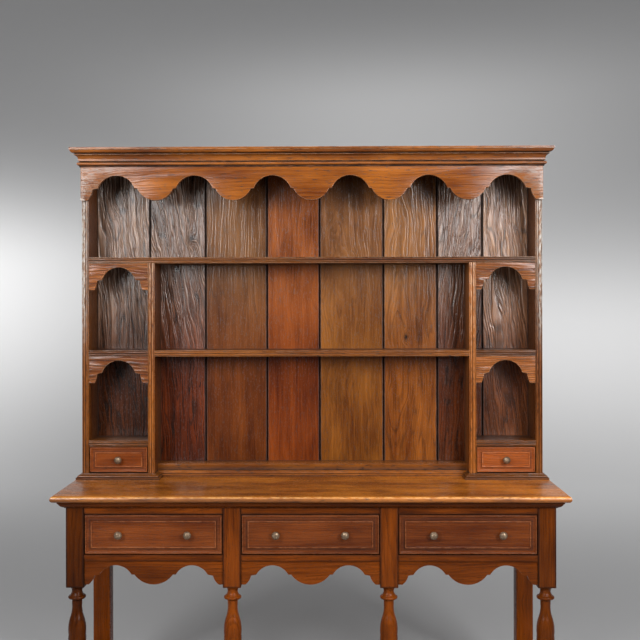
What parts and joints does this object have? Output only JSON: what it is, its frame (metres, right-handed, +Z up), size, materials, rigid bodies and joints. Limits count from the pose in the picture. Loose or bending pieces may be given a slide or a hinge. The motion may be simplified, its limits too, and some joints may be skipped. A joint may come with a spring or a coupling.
{
  "type": "welsh dresser",
  "caption": "Wooden dresser with an open plate rack under a scalloped frieze, small spice drawers, and a drawered base with a potboard.",
  "frame": {"origin": "on the floor, under the middle of the top board", "axes": "+Z up, -Y towards the front where the drawers open, +X to the right of someone facing the dresser"},
  "size_m": [1.778, 0.496, 2.035],
  "materials": {
    "rack_wood": "waxed brown stain, raised grain",
    "back_board_wood": "waxed brown stain, worn grey in the grain",
    "top_board_wood": "polished brown stain, worn at the edge",
    "base_wood": "waxed dark brown stain",
    "drawer_front_wood": "waxed reddish brown stain",
    "drawer_box_wood": "bare planed wood",
    "aged_brass": "aged brass, dull"
  },
  "bodies": {
    "carcass": {"rack_left_side": "rack_wood", "rack_right_side": "rack_wood", "rack_left_upright": "rack_wood", "rack_right_upright": "rack_wood", "rack_top_board": "rack_wood", "rack_cornice": "rack_wood", "rack_frieze": "rack_wood", "rack_top_shelf": "rack_wood", "rack_middle_shelf": "rack_wood", "rack_left_upper_shelf": "rack_wood", "rack_right_upper_shelf": "rack_wood", "rack_left_lower_shelf": "rack_wood", "rack_right_lower_shelf": "rack_wood", "rack_left_upper_arch": "rack_wood", "rack_right_upper_arch": "rack_wood", "rack_left_lower_arch": "rack_wood", "rack_right_lower_arch": "rack_wood", "rack_ledge": "rack_wood", "rack_left_plinth": "rack_wood", "rack_right_plinth": "rack_wood", "rack_centre_plinth": "rack_wood", "rack_back_boards": "back_board_wood", "base_top_moulding": "base_wood", "base_front_leg_left": "base_wood", "base_front_leg_mid_left": "base_wood", "base_front_leg_mid_right": "base_wood", "base_front_leg_right": "base_wood", "base_back_leg_left": "base_wood", "base_back_leg_right": "base_wood", "base_top_rail": "base_wood", "base_drawer_rail": "base_wood", "base_apron": "base_wood", "base_left_end_panel": "base_wood", "base_right_end_panel": "base_wood", "base_back_panel": "base_wood", "potboard": "base_wood", "potboard_front_rail": "base_wood", "potboard_left_rail": "base_wood", "potboard_right_rail": "base_wood", "potboard_back_rail": "base_wood", "base_top_board": "top_board_wood", "base_runner_frame": "drawer_box_wood"},
    "left_spice_drawer": {"left_spice_drawer_front": "drawer_front_wood", "left_spice_drawer_box": "drawer_box_wood", "left_spice_knob": "aged_brass"},
    "right_spice_drawer": {"right_spice_drawer_front": "drawer_front_wood", "right_spice_drawer_box": "drawer_box_wood", "right_spice_knob": "aged_brass"},
    "left_drawer": {"left_drawer_front": "drawer_front_wood", "left_drawer_box": "drawer_box_wood", "left_drawer_left_knob": "aged_brass", "left_drawer_right_knob": "aged_brass"},
    "centre_drawer": {"centre_drawer_front": "drawer_front_wood", "centre_drawer_box": "drawer_box_wood", "centre_drawer_left_knob": "aged_brass", "centre_drawer_right_knob": "aged_brass"},
    "right_drawer": {"right_drawer_front": "drawer_front_wood", "right_drawer_box": "drawer_box_wood", "right_drawer_left_knob": "aged_brass", "right_drawer_right_knob": "aged_brass"}
  },
  "joints": [
    {"name": "left_spice_drawer_slide", "type": "slide", "parent": "carcass", "child": "left_spice_drawer", "axis": [0, -1, 0], "range_m": [0, 0.09]},
    {"name": "right_spice_drawer_slide", "type": "slide", "parent": "carcass", "child": "right_spice_drawer", "axis": [0, -1, 0], "range_m": [0, 0.09]},
    {"name": "left_drawer_slide", "type": "slide", "parent": "carcass", "child": "left_drawer", "axis": [0, -1, 0], "range_m": [0, 0.32]},
    {"name": "centre_drawer_slide", "type": "slide", "parent": "carcass", "child": "centre_drawer", "axis": [0, -1, 0], "range_m": [0, 0.32]},
    {"name": "right_drawer_slide", "type": "slide", "parent": "carcass", "child": "right_drawer", "axis": [0, -1, 0], "range_m": [0, 0.32]}
  ]
}
